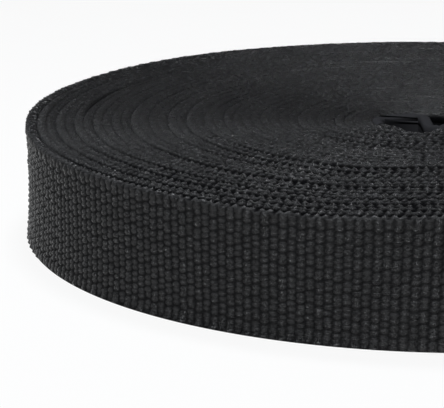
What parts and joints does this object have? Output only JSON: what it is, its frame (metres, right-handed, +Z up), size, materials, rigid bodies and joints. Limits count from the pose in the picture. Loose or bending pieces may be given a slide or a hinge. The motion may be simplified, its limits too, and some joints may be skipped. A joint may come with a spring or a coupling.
{
  "type": "roll of polypropylene webbing",
  "caption": "Flat roll of heavy woven polypropylene webbing, wound double round a small open eye that the strip crosses, with a hollow outer wall and a ridged spiral face.",
  "frame": {"origin": "centre of the footprint, on the surface that the roll lies on", "axes": "+Z up along the winding's axis, -Y towards the viewer of the picture, +X to the viewer's right"},
  "size_m": [0.1772, 0.1772, 0.0253],
  "materials": {
    "webbing": "black woven polypropylene yarn with a dull sheen"
  },
  "bodies": {
    "root": {"webbing_roll": "webbing"}
  },
  "joints": []
}
